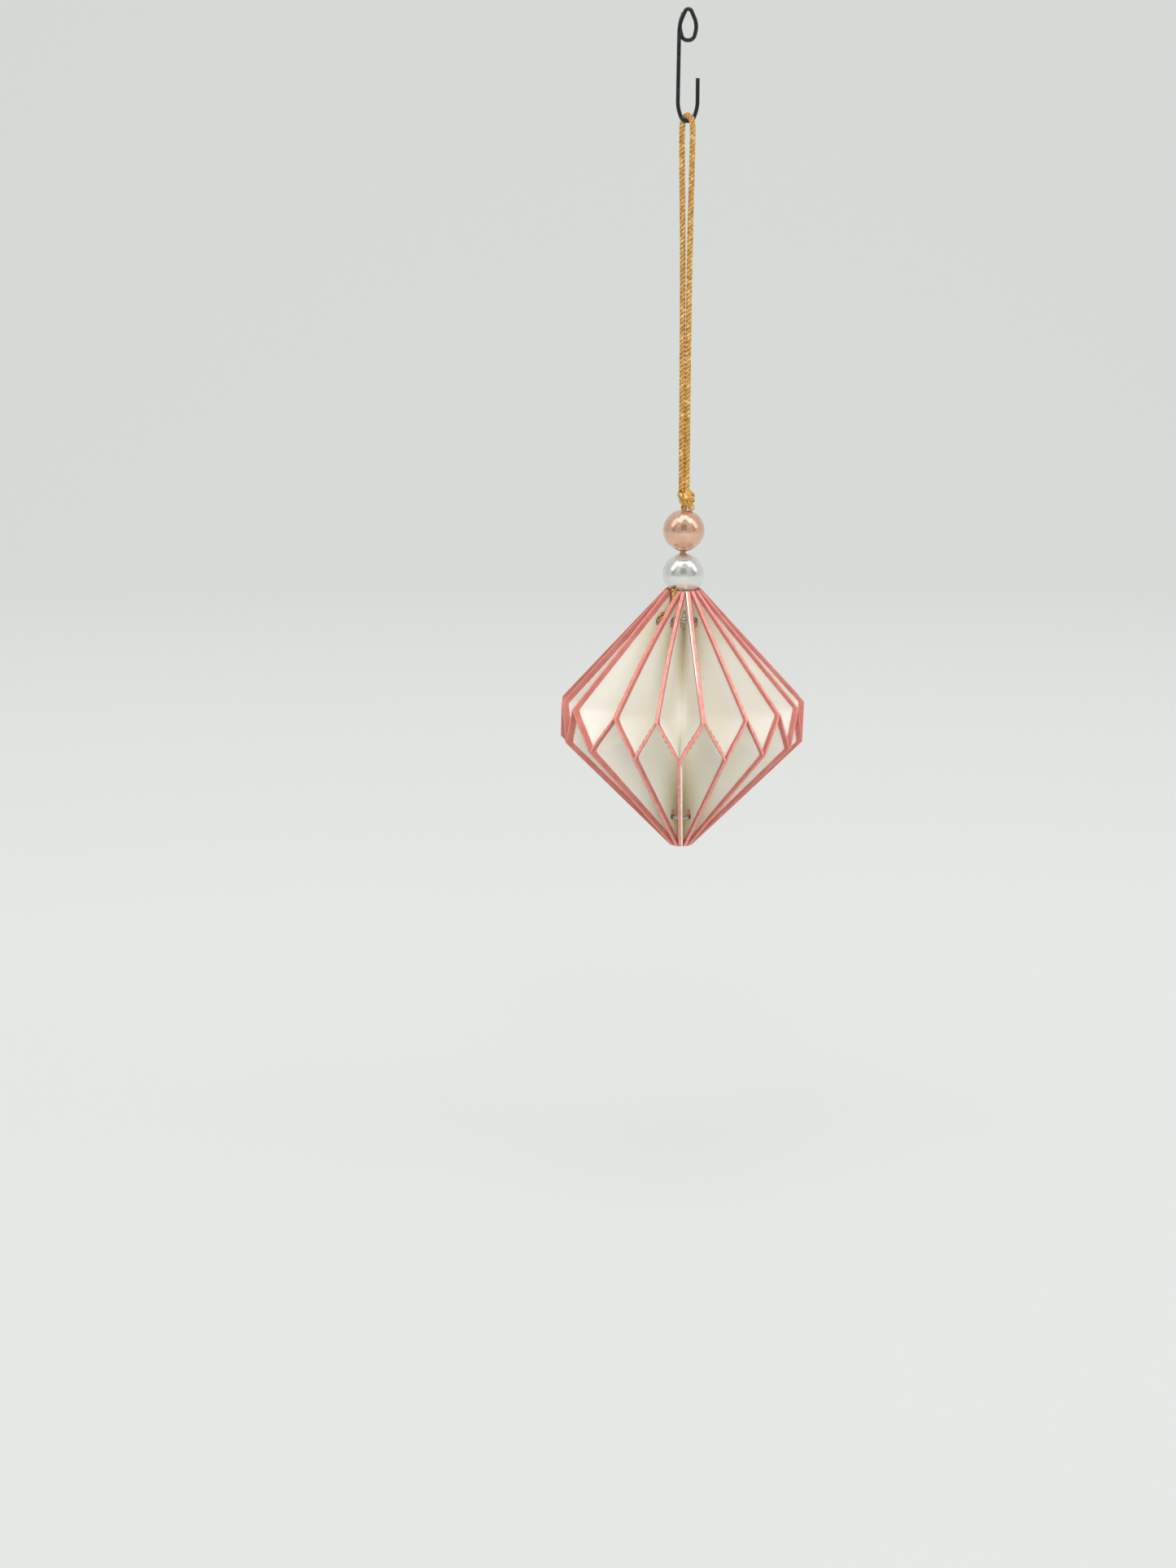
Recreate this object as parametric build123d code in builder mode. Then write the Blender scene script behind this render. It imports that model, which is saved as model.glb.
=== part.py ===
"""A honeycomb paper diamond that hangs from a wire hook by a gold cord.

Thirty-seven die-cut cards stand round an open core like the pages of a book that is opened all
the way round. Each card is glued to one neighbour above the middle and to the other below it, so
every card bends across from an upper rib to a lower rib. The first card and the last one meet at
a seam, where they lie face to face. Two wire rings run through punched holes and hold the cards.
A cord is tied to the upper ring, carries two pearl beads and ends in a knotted loop.

Millimetres, +Z up. The origin is the point inside the hook's eye that bears on its nail or twig.
Azimuth 0 faces -Y, and azimuths grow towards +X.
"""
import os
from math import atan, cos, hypot, pi, radians, sin, sqrt, tan

from build123d import *

# Paper cards
CARD_THICKNESS = 0.4
RIB_COUNT = 18
BODY_RADIUS = 35.1
TIP_HEIGHT = 37.7
SHOULDER_HEIGHT = 5.3
TOP_TIP_RADIUS = 5.2
TOP_THROAT_RADIUS = 4.6
THROAT_DEPTH = 6.7
BOTTOM_TIP_RADIUS = 3.4
SPINE_RADIUS = 2.9
SPINE_HEIGHT = 18.0
BEND_HEIGHT_AT_CORE = 16.0

# How the opened cards stand round the core, in degrees
SEAM_AZIMUTH = 6.8
WIDE_CELL_ANGLE = 29.4
RIBS_BEFORE_WIDE_CELL = 15
FRONT_SPREAD = 3.2

# Rings of wire through the cards, and how far below the tips their holes are punched
RING_RADIUS = 7.5
RING_WIRE = 1.2
RING_ARC = 359.0
RING_HOLE = 3.0
HOLE_SIDES = 12
TOP_HOLE_DEPTH = 8.7
BOTTOM_HOLE_DEPTH = 10.5
RING_SEAT_CLEARANCE = 0.15

# Beads
BEAD_DIAMETER = 12.0
BEAD_HOLE_CLEARANCE = 0.2
BEAD_SEAT_CLEARANCE = 0.25
BEAD_GAP = 0.5

# Cord, its knot above the beads and its tie on the upper ring
CORD_DIAMETER = 1.5
STRAND_GAP = 0.06
KNOT_WIDTH = 4.9
KNOT_HEIGHT = 4.6
KNOT_GAP = 0.5
KNOT_TILT = 14.0
KNOT_STUB = 1.9
KNOT_STUB_TILT = 35.0
LOOP_LENGTH = 103.0
LOOP_SPREAD = 1.4
LOOP_DEPTH = 1.7
LOOP_PARTING = 44.0
LOOP_CLEARANCE = 0.25
TIE_CLEARANCE = 0.06
TIE_KNOT_WIDTH = 1.9
TIE_KNOT_LENGTH = 1.5
TIE_TAIL_LENGTH = 5.9

# Wire hook, measured to the corners of its centre line before they are rounded
HOOK_WIRE = 1.1
EYE_WIDTH = 4.9
EYE_HEIGHT = 8.05
EYE_TOP_WIDTH = 1.3
EYE_BOTTOM_WIDTH = 3.0
EYE_WAIST_DEPTH = 4.0
EYE_OVERLAP = 7.2
EYE_CLEARANCE = 0.1
HOOK_DROP = 28.8
HOOK_WIDTH = 5.4
HOOK_TOE_WIDTH = 2.9
HOOK_TOE_RISE = 3.6
HOOK_POINT_RISE = 11.3

# How far an arc fills a bend between two runs, and the share of a run that an arc may take
ARC_FULLNESS = 0.97
RUN_SHARE = 0.45

# Heights above and below the middle of the cards
throat_height = TIP_HEIGHT - THROAT_DEPTH
top_hole_height = TIP_HEIGHT - TOP_HOLE_DEPTH
bottom_hole_height = BOTTOM_HOLE_DEPTH - TIP_HEIGHT

# Heights that follow from the sizes above, from the eye downwards
wire_radius = HOOK_WIRE / 2
cord_radius = CORD_DIAMETER / 2
bead_radius = BEAD_DIAMETER / 2
loop_top = -HOOK_DROP + wire_radius + cord_radius + LOOP_CLEARANCE
knot_top = loop_top - LOOP_LENGTH
knot_bottom = knot_top - KNOT_HEIGHT
peach_height = knot_bottom - KNOT_GAP - bead_radius
white_height = peach_height - BEAD_GAP - BEAD_DIAMETER
seat_radius = bead_radius + BEAD_SEAT_CLEARANCE
tip_level = white_height - sqrt(seat_radius**2 - TOP_THROAT_RADIUS**2)
middle = tip_level - TIP_HEIGHT
ring_play = (RING_HOLE - RING_WIRE) / 2 - RING_SEAT_CLEARANCE
top_ring_height = middle + top_hole_height + ring_play
bottom_ring_height = middle + bottom_hole_height - ring_play


def outward(azimuth):
    """Unit vector that points away from the axis at an azimuth."""
    return Vector(sin(radians(azimuth)), -cos(radians(azimuth)), 0)


def sideways(azimuth):
    """Unit vector along growing azimuth."""
    return Vector(cos(radians(azimuth)), sin(radians(azimuth)), 0)


def rib_azimuths():
    """Upper ribs in order round the core from the seam, and the seam's rib once more at the end.

    One cell was pushed wide by the cord, and the cells that face front and back stand open a
    little more than those at the sides.
    """
    pitch = (360 - WIDE_CELL_ANGLE) / (RIB_COUNT - 1)
    azimuth = SEAM_AZIMUTH
    ribs = []
    for index in range(RIB_COUNT + 1):
        ribs.append(azimuth + FRONT_SPREAD * sin(radians(2 * azimuth)))
        azimuth += WIDE_CELL_ANGLE if index == RIBS_BEFORE_WIDE_CELL else pitch
    return ribs


def paper_card(upper_rib, upper_layer, lower_rib, lower_layer):
    """One card, bent across from the plane of its upper rib to that of its lower rib.

    Card bends only along straight lines, so three flat facets fan out from the core between the
    two plates. A layer counts card thicknesses from the rib's plane to the card's near side.
    """
    azimuth = (upper_rib + lower_rib) / 2
    half_angle = radians(upper_rib - lower_rib) / 2
    thickness = CARD_THICKNESS / cos(half_angle)

    def point(distance, height):
        """A point on the card's near side: in a rib's plane above and below, and between at the core."""
        upper = distance * tan(half_angle) + thickness * upper_layer
        lower = -distance * tan(half_angle) + thickness * lower_layer
        across = upper if height > 0 else lower if height < 0 else (upper + lower) / 2
        return outward(azimuth) * distance + sideways(azimuth) * across + Vector(0, 0, middle + height)

    core = SPINE_RADIUS
    shoulder, waist = point(BODY_RADIUS, SHOULDER_HEIGHT), point(BODY_RADIUS, -SHOULDER_HEIGHT)
    bend_above, bend_below = point(core, BEND_HEIGHT_AT_CORE), point(core, -BEND_HEIGHT_AT_CORE)
    hub = point(core, 0)
    facets = [
        (point(core, TIP_HEIGHT), point(BODY_RADIUS, TIP_HEIGHT), shoulder, bend_above),
        (bend_above, shoulder, hub),
        (hub, shoulder, waist),
        (hub, waist, bend_below),
        (bend_below, waist, point(BODY_RADIUS, -TIP_HEIGHT), point(core, -TIP_HEIGHT)),
    ]
    with BuildPart() as card:
        for corners in facets:
            extrude(Face(Wire.make_polygon(corners)), amount=thickness, dir=sideways(azimuth))
        # The die's half-diamond outline, and the twelve-sided holes of its two punches
        with BuildSketch(Plane((0, 0, middle), x_dir=outward(azimuth), z_dir=-sideways(azimuth))):
            with BuildLine():
                Polyline(
                    (TOP_THROAT_RADIUS, TIP_HEIGHT),
                    (TOP_TIP_RADIUS, TIP_HEIGHT),
                    (BODY_RADIUS, SHOULDER_HEIGHT),
                    (BODY_RADIUS, -SHOULDER_HEIGHT),
                    (BOTTOM_TIP_RADIUS, -TIP_HEIGHT),
                    (SPINE_RADIUS, -TIP_HEIGHT),
                    (SPINE_RADIUS, SPINE_HEIGHT),
                    (TOP_THROAT_RADIUS, throat_height),
                    close=True,
                )
            make_face()
            with Locations((RING_RADIUS, top_hole_height), (RING_RADIUS, bottom_hole_height)):
                RegularPolygon(RING_HOLE / 2, HOLE_SIDES, mode=Mode.SUBTRACT)
        extrude(amount=BODY_RADIUS / 2, both=True, mode=Mode.INTERSECT)
    return card


def wire_ring(height):
    """A ring bent from wire whose two ends butt together."""
    with BuildPart() as ring:
        with BuildSketch(Plane.XZ):
            with Locations((RING_RADIUS, height)):
                Circle(RING_WIRE / 2)
        revolve(axis=Axis.Z, revolution_arc=RING_ARC)
    return ring


def pearl_bead(height):
    """A round bead bored for the cord."""
    with BuildPart() as bead:
        with Locations((0, 0, height)):
            Sphere(bead_radius)
            Cylinder(cord_radius + BEAD_HOLE_CLEARANCE, BEAD_DIAMETER, mode=Mode.SUBTRACT)
    return bead


def round_tube(points, radii, diameter, name):
    """A round tube along straight runs joined by tangent arcs."""
    print(name, "radii", [round(radius, 2) for radius in radii])
    with BuildPart() as tube:
        with BuildLine() as route:
            FilletPolyline(*points, radius=radii)
        path = route.wire()
        with BuildSketch(Plane(path.position_at(0), z_dir=path.tangent_at(0))):
            Circle(diameter / 2)
        sweep(path=path)
    length = path.length
    print(name, "length", round(length, 2), "volume", round(tube.part.volume, 2),
          "section x length", round(pi * diameter**2 / 4 * length, 2))
    return tube


def fitted_radii(points):
    """For each corner of a route, the radius of an arc that takes a fixed share of its shorter run."""
    radii = []
    for before, corner, after in zip(points, points[1:], points[2:]):
        run_in = Vector(corner) - Vector(before)
        run_out = Vector(after) - Vector(corner)
        half_turn = radians(run_in.get_angle(run_out)) / 2
        radii.append(RUN_SHARE * min(run_in.length, run_out.length) / tan(half_turn))
    return radii


# The cards, each with its upper rib and layer, then its lower rib and layer. Most ribs hold two
# cards, one on each side of their plane, and the two ribs at the seam hold three
upper_ribs = rib_azimuths()
lower_ribs = [(left + right) / 2 for left, right in zip(upper_ribs, upper_ribs[1:])]
cards = [(upper_ribs[0], -0.5, lower_ribs[-1] - 360, 0.5)]
for index, lower_rib in enumerate(lower_ribs):
    first, last = index == 0, index == RIB_COUNT - 1
    cards.append((upper_ribs[index], 0.5 if first else 0, lower_rib, -1.5 if last else -1))
    cards.append((upper_ribs[index + 1], -1.5 if last else -1, lower_rib, -0.5 if last else 0))

os.makedirs("parts", exist_ok=True)
for number, layout in enumerate(cards, start=1):
    paper = paper_card(*layout)
    paper.part.label = f"paper_card_{number:02d}"
    export_step(paper.part, f"parts/paper_card_{number:02d}.step")

# Rings
top_ring = wire_ring(top_ring_height)
top_ring.part.label = "top_ring"
export_step(top_ring.part, "parts/top_ring.step")

bottom_ring = wire_ring(bottom_ring_height)
bottom_ring.part.label = "bottom_ring"
export_step(bottom_ring.part, "parts/bottom_ring.step")

# Beads
peach_bead = pearl_bead(peach_height)
peach_bead.part.label = "peach_pearl_bead"
export_step(peach_bead.part, "parts/peach_pearl_bead.step")

white_bead = pearl_bead(white_height)
white_bead.part.label = "white_pearl_bead"
export_step(white_bead.part, "parts/white_pearl_bead.step")

# The knot above the beads: two slanting turns round the cord, and the short cut end beside it
turn_radius = (KNOT_WIDTH - CORD_DIAMETER) / 2
knot_middle = (knot_top + knot_bottom) / 2
with BuildPart() as cord_knot:
    with Locations((0, 0, knot_middle)):
        Cylinder(CORD_DIAMETER + STRAND_GAP / 2, KNOT_HEIGHT)
    with Locations(
        Location((0, 0, knot_middle + cord_radius), (0, KNOT_TILT, 0)),
        Location((0, 0, knot_middle - cord_radius), (0, KNOT_TILT, 0)),
    ):
        Torus(turn_radius, cord_radius)
    with Locations(Location((turn_radius, 0, knot_middle - cord_radius), (0, 180 - KNOT_STUB_TILT, 0))):
        Cylinder(cord_radius, KNOT_STUB, align=(Align.CENTER, Align.CENTER, Align.MIN))
cord_knot.part.label = "cord_knot"
export_step(cord_knot.part, "parts/cord_knot.step")

# The loop: two strands side by side that part below the hook and cross over its wire
strand = cord_radius + STRAND_GAP / 2
parting_height = loop_top - LOOP_PARTING
loop_points = [
    (-strand, 0, knot_top),
    (-strand, 0, parting_height),
    (-LOOP_SPREAD, LOOP_DEPTH, loop_top),
    (LOOP_SPREAD, -LOOP_DEPTH, loop_top),
    (strand, 0, parting_height),
    (strand, 0, knot_top),
]
saddle_radius = ARC_FULLNESS * hypot(LOOP_SPREAD, LOOP_DEPTH)
parting_turn = atan(hypot(LOOP_SPREAD - strand, LOOP_DEPTH) / LOOP_PARTING)
parting_radius = RUN_SHARE * LOOP_PARTING / tan(parting_turn / 2)
cord_loop = round_tube(
    loop_points, [parting_radius, saddle_radius, saddle_radius, parting_radius], CORD_DIAMETER, "loop"
)
cord_loop.part.label = "cord_loop"
export_step(cord_loop.part, "parts/cord_loop.step")

# The tie on the upper ring, in the wide cell: a turn round the wire, a small knot and its tail
tie_azimuth = (upper_ribs[RIBS_BEFORE_WIDE_CELL] + upper_ribs[RIBS_BEFORE_WIDE_CELL + 1]) / 2
tie_plane = Plane((0, 0, 0), x_dir=outward(tie_azimuth), z_dir=-sideways(tie_azimuth))
tie_turn_radius = RING_WIRE / 2 + cord_radius + TIE_CLEARANCE
tie_reach = RING_RADIUS - tie_turn_radius - cord_radius
tie_height = top_ring_height + tie_turn_radius + cord_radius
with BuildPart() as ring_tie:
    with BuildSketch(tie_plane):
        with Locations((RING_RADIUS, top_ring_height)):
            Circle(tie_turn_radius + cord_radius)
            Circle(tie_turn_radius - cord_radius, mode=Mode.SUBTRACT)
    extrude(amount=cord_radius, both=True)
    with Locations(tie_plane.location):
        with Locations(Location((tie_reach, tie_height, 0), (0, 90, 0))):
            Cylinder(TIE_KNOT_WIDTH / 2, TIE_KNOT_LENGTH, align=(Align.CENTER, Align.CENTER, Align.MIN))
        with Locations(Location((tie_reach + TIE_KNOT_LENGTH / 2, tie_height, 0), (-90, 0, 0))):
            Cylinder(cord_radius, TIE_TAIL_LENGTH, align=(Align.CENTER, Align.CENTER, Align.MIN))
ring_tie.part.label = "ring_tie"
export_step(ring_tie.part, "parts/ring_tie.step")

# The single strand from the knot through both beads, round under the white bead to the tie
stem_points = [
    (0, 0, knot_bottom),
    (0, 0, tie_height),
    tuple(outward(tie_azimuth) * tie_reach + Vector(0, 0, tie_height)),
]
cord_stem = round_tube(stem_points, [RUN_SHARE * tie_reach], CORD_DIAMETER, "stem")
cord_stem.part.label = "cord_stem"
export_step(cord_stem.part, "parts/cord_stem.step")

# The hook: one wire from the point round the bend, up the shank and once round the pear-shaped eye
hook_side = HOOK_WIDTH / 2
toe_side = HOOK_TOE_WIDTH / 2
toe_height = HOOK_TOE_RISE - HOOK_DROP
eye_side = EYE_WIDTH / 2
eye_top_side = EYE_TOP_WIDTH / 2
eye_bottom_side = EYE_BOTTOM_WIDTH / 2
eye_step = HOOK_WIRE + EYE_CLEARANCE
eye_top = wire_radius
eye_waist = eye_top - EYE_WAIST_DEPTH
eye_bottom = eye_top - EYE_HEIGHT
hook_points = [
    (hook_side, 0, HOOK_POINT_RISE - HOOK_DROP),
    (hook_side, 0, toe_height),
    (toe_side, 0, -HOOK_DROP),
    (-toe_side, 0, -HOOK_DROP),
    (-hook_side, 0, toe_height),
    (-eye_side, 0, eye_waist),
    (-eye_top_side, 0, eye_top),
    (eye_top_side, eye_step / 2, eye_top),
    (eye_side, eye_step / 2, eye_waist),
    (eye_bottom_side, eye_step / 2, eye_bottom),
    (-eye_bottom_side, eye_step, eye_bottom),
    (-eye_side, eye_step, eye_waist),
    (-EYE_TOP_WIDTH, eye_step, eye_bottom + EYE_OVERLAP),
]
wire_hook = round_tube(hook_points, fitted_radii(hook_points), HOOK_WIRE, "hook")
wire_hook.part.label = "wire_hook"
export_step(wire_hook.part, "parts/wire_hook.step")

print("middle", round(middle, 3), "tie azimuth", round(tie_azimuth - 360, 2))
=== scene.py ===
# %% [markdown]
# # A honeycomb paper diamond on a gold cord
# The ornament is a stack of die-cut cards, opened all the way round like a book. Each card is glued
# to one neighbour in its upper half and to the other in its lower half, so the cards form cells.
# Two steel rings hold the stack, two pearl beads sit on it, and a cord loop hangs from a wire hook.
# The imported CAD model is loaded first, and every piece below is made in its frame, in metres.

from math import asin, cos, pi, radians, sin, sqrt, tan

import bmesh
import bpy
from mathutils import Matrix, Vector
from mathutils.geometry import delaunay_2d_cdt


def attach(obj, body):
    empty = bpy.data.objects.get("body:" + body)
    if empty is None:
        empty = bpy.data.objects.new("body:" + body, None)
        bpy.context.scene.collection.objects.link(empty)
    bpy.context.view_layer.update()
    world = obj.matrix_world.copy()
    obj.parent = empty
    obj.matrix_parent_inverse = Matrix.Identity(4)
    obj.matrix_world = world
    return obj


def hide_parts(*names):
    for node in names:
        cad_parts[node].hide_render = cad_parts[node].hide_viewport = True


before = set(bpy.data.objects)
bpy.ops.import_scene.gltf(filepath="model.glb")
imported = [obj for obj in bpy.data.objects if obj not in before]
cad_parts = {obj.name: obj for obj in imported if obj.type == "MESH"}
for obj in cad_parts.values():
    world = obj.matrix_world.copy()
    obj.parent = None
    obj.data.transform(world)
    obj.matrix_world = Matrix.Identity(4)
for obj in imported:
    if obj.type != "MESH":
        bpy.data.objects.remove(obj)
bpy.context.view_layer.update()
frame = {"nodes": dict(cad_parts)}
nodes = frame["nodes"]

# %% [markdown]
# ## Camera
# The photograph looks slightly down on the ornament, which hangs right of the middle of the
# picture. A camera's place, tilt and lens are three separate things. Here they come from a pinhole
# fit, so that the perspective of the cells is right, and no lens shift is needed. The picture is
# taller than wide, so the sensor's size lies along its height.

# %% Camera
PHOTO_HEIGHT = 1927
FOCAL_PIXELS = 2900
SENSOR_SIZE = 36
CAMERA_PLACE = (-0.0273, -0.672, -0.0604)
CAMERA_TILT_DOWN = 13

camera_data = bpy.data.cameras.new("camera")
camera_data.sensor_width = SENSOR_SIZE
camera_data.lens = camera_data.sensor_width * FOCAL_PIXELS / PHOTO_HEIGHT
camera = bpy.data.objects.new("camera", camera_data)
camera.location = CAMERA_PLACE
camera.rotation_euler = (radians(90 - CAMERA_TILT_DOWN), 0, 0)
bpy.context.scene.collection.objects.link(camera)
bpy.context.scene.camera = camera
bpy.context.scene.view_settings.view_transform = "Standard"
print("lens:", round(camera_data.lens, 2), "mm")

# %% [markdown]
# ## Where the cord runs
# The cord is one length of twisted satin. A loop of two strands comes out of the knot, parts below
# the hook and crosses over its wire, so the strands stand one behind the other there. A single
# strand goes from the knot down through both beads and is tied to the upper ring. A curve object is
# the easy way to draw such a line: a NURBS spline of order 3 stays smooth with few control points,
# and the plies can follow it afterwards.

# %% The cord's routes
MM = 0.001
CORD_DIAMETER = 1.5 * MM
KNOT_BOTTOM = -134.85 * MM
TIE_AZIMUTH, TIE_REACH, TIE_HEIGHT = -49.58, 5.34 * MM, -163.871 * MM
SPLINE_ORDER, SPLINE_STEPS = 3, 24


def outward(azimuth):
    """Unit vector away from the axis. Azimuth 0 faces -Y and grows towards +X."""
    return Vector((sin(radians(azimuth)), -cos(radians(azimuth)), 0))


def sideways(azimuth):
    """Unit vector along growing azimuth."""
    return Vector((cos(radians(azimuth)), sin(radians(azimuth)), 0))


loop_route = [Vector(point) * MM for point in (
    (-0.78, 0, -130.25),
    (-0.78, 0, -71.25),
    (-1.4, 1.7, -36.5),
    (-1.4, 1.7, -27.25),
    (1.4, -1.7, -27.25),
    (1.4, -1.7, -36.5),
    (0.78, 0, -71.25),
    (0.78, 0, -130.25),
)]
stem_route = [
    Vector((0, 0, KNOT_BOTTOM)),
    Vector((0, 0, TIE_HEIGHT)),
    outward(TIE_AZIMUTH) * TIE_REACH + Vector((0, 0, TIE_HEIGHT)),
]


def line_of(route, name):
    """Points along the smooth NURBS spline that has the route's points as its control points."""
    curve = bpy.data.curves.new(name, "CURVE")
    curve.dimensions = "3D"
    spline = curve.splines.new("NURBS")
    spline.points.add(len(route) - 1)
    for place, point in zip(spline.points, route):
        place.co = (*point, 1)
    spline.order_u = SPLINE_ORDER
    spline.use_endpoint_u = True
    spline.resolution_u = SPLINE_STEPS
    holder = bpy.data.objects.new(name, curve)
    mesh = bpy.data.meshes.new_from_object(holder)
    points = [vertex.co.copy() for vertex in mesh.vertices]
    bpy.data.objects.remove(holder)
    bpy.data.curves.remove(curve)
    bpy.data.meshes.remove(mesh)
    print(name, "points:", len(points), "length:", round(length_of(points) / MM, 1), "mm")
    return points


def length_of(points):
    """Length of a line through points."""
    return sum((b - a).length for a, b in zip(points, points[1:]))


loop_line = line_of(loop_route, "loop_line")
stem_line = line_of(stem_route, "stem_line")

# %% [markdown]
# ## Twisting the cord
# Satin cord is three plies laid round each other. A plain tube with a stripe texture would look
# flat where the light grazes it, so each ply is its own tube here. A frame that doesn't spin is
# carried along the line, and the plies turn round it at the cord's own pitch. Each ply is a little
# fatter than a third of the cord, because soft thread squashes into its neighbours.

# %% Build a twisted cord
PLIES = 3
TWIST_PITCH = 3.6 * MM
PLY_SIDES = 10
PLY_SWELL = 1.3
STEPS_A_TURN = 14


def evenly(points, step):
    """The same line with its points about one step apart."""
    total = length_of(points)
    count = max(2, round(total / step))
    spots, index, walked = [points[0].copy()], 0, 0.0
    for number in range(1, count):
        target = total * number / count
        while walked + (points[index + 1] - points[index]).length < target:
            walked += (points[index + 1] - points[index]).length
            index += 1
        run = points[index + 1] - points[index]
        spots.append(points[index] + run * ((target - walked) / run.length))
    return spots + [points[-1].copy()]


def frames_along(points):
    """A direction and two side vectors at each point, carried along without spinning."""
    frames, side = [], None
    for index, point in enumerate(points):
        after = points[min(index + 1, len(points) - 1)]
        before = points[max(index - 1, 0)]
        ahead = (after - before).normalized()
        if side is None:
            side = ahead.orthogonal().normalized()
        side = (side - ahead * side.dot(ahead)).normalized()
        frames.append((point, ahead, side, ahead.cross(side)))
    return frames


def tube_into(mesh, uv, centres, axis, radius, sides):
    """Adds one tube with closed ends. Its UV map holds the distance from the cord's axis, in
    millimetres, and the length along the tube in turns of the twist."""
    rings, reaches, lengths, walked = [], [], [], 0.0
    for index, (point, ahead, side, up) in enumerate(frames_along(centres)):
        if index:
            walked += (point - centres[index - 1]).length
        lengths.append(walked)
        spots = [
            point + (side * cos(turn) + up * sin(turn)) * radius
            for turn in (2 * pi * number / sides for number in range(sides))
        ]
        rings.append([mesh.verts.new(spot) for spot in spots])
        reaches.append([(spot - axis[index]).length / MM for spot in spots])
    for index in range(len(rings) - 1):
        for number in range(sides):
            after = (number + 1) % sides
            face = mesh.faces.new((
                rings[index][number], rings[index][after],
                rings[index + 1][after], rings[index + 1][number],
            ))
            face.smooth = True
            across = (number, after, after, number)
            along = (index, index, index + 1, index + 1)
            for loop, u, v in zip(face.loops, across, along):
                loop[uv].uv = (reaches[v][u], lengths[v] / TWIST_PITCH)
    mesh.faces.new(list(reversed(rings[0])))
    mesh.faces.new(rings[-1])


def rope_into(mesh, uv, line, diameter=CORD_DIAMETER, start_turn=0.0):
    """Adds the plies of one twisted cord along a line."""
    ply_radius = diameter / 2 / (1 + 2 / sqrt(3))
    lay_radius = diameter / 2 - ply_radius
    step = TWIST_PITCH / STEPS_A_TURN
    frames = frames_along(evenly(line, step))
    axis = [frame[0] for frame in frames]
    for ply in range(PLIES):
        centres = []
        for index, (point, ahead, side, up) in enumerate(frames):
            turn = 2 * pi * (index / STEPS_A_TURN + ply / PLIES) + start_turn
            centres.append(point + (side * cos(turn) + up * sin(turn)) * lay_radius)
        tube_into(mesh, uv, centres, axis, ply_radius * PLY_SWELL, PLY_SIDES)


def piece_of(mesh, name, *materials):
    """Turns a bmesh into an object that rides on the ornament's only body."""
    data = bpy.data.meshes.new(name)
    bmesh.ops.recalc_face_normals(mesh, faces=mesh.faces)
    mesh.to_mesh(data)
    mesh.free()
    for material in materials:
        data.materials.append(material)
    made = bpy.data.objects.new(name, data)
    bpy.context.scene.collection.objects.link(made)
    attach(made, "root")
    return made


def rope_piece(name, line, start_turn=0.0):
    """One length of twisted cord as a piece."""
    mesh = bmesh.new()
    uv = mesh.loops.layers.uv.new("ply")
    rope_into(mesh, uv, line, start_turn=start_turn)
    return piece_of(mesh, name)


loop_cord = rope_piece("loop_cord", loop_line)
stem_cord = rope_piece("stem_cord", stem_line, start_turn=1.0)
print("loop faces:", len(loop_cord.data.polygons))

# %% [markdown]
# ## The knot and the tie
# Above the beads the doubled cord is tied in an overhand knot: one fat turn slants across the
# front, a second one sits below it, and a short cut end sticks out at the lower right. The tie on
# the ring is one turn round the wire, a pinched knot and a loose tail that stands up between two
# cards. Both are drawn as short lines of their own, because their shape is what the eye reads.

# %% Knot and tie
RING_RADIUS = 7.5 * MM
TOP_RING_HEIGHT = -166.031 * MM
TIE_TURN_RADIUS = 1.41 * MM
KNOT_CORD_DIAMETER = 1.7 * MM
TIE_CORD_DIAMETER = CORD_DIAMETER * 0.9
TIE_TURN_START, TIE_TURN_STEP, TIE_TURN_POINTS = 150, 60, 7
TIE_DRIFT = 0.12 * MM
TIE_KNOT_REACH = 0.9 * MM

knot_turns = [Vector(point) * MM for point in (
    (0.0, 0.6, -130.5),
    (-0.9, 0.9, -130.9),
    (-1.2, -0.6, -131.3),
    (0.6, -1.7, -131.7),
    (2.3, -1.0, -132.4),
    (2.3, 0.8, -132.7),
    (0.6, 1.5, -132.5),
    (-0.7, 0.4, -132.8),
    (0.0, -1.3, -133.1),
    (1.4, -1.5, -133.6),
    (2.1, -0.8, -134.5),
    (2.1, -0.5, -135.2),
)]
knot_core = [Vector(point) * MM for point in (
    (0.7, 0.1, -130.3),
    (1.9, -0.5, -130.9),
    (2.5, 0.5, -131.6),
    (1.2, 1.4, -132.1),
    (-0.5, 0.8, -131.9),
    (-0.3, -0.4, -132.8),
    (0.4, 0, -134.0),
    (0, 0, -134.85),
)]
mesh = bmesh.new()
uv = mesh.loops.layers.uv.new("ply")
rope_into(mesh, uv, line_of(knot_turns, "knot_turns"), diameter=KNOT_CORD_DIAMETER)
rope_into(mesh, uv, line_of(knot_core, "knot_core"), diameter=KNOT_CORD_DIAMETER, start_turn=0.5)
knot = piece_of(mesh, "knot")

tie_out, tie_side = outward(TIE_AZIMUTH), sideways(TIE_AZIMUTH)
tie_knot_place = tie_out * TIE_REACH + Vector((0, 0, TIE_HEIGHT))


def round_the_wire(degrees, drift):
    """A point on the turn round the ring's wire, which drifts sideways along the ring."""
    reach = RING_RADIUS + cos(radians(degrees)) * TIE_TURN_RADIUS
    rise = TOP_RING_HEIGHT + sin(radians(degrees)) * TIE_TURN_RADIUS
    return tie_out * reach + tie_side * drift + Vector((0, 0, rise))


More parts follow.
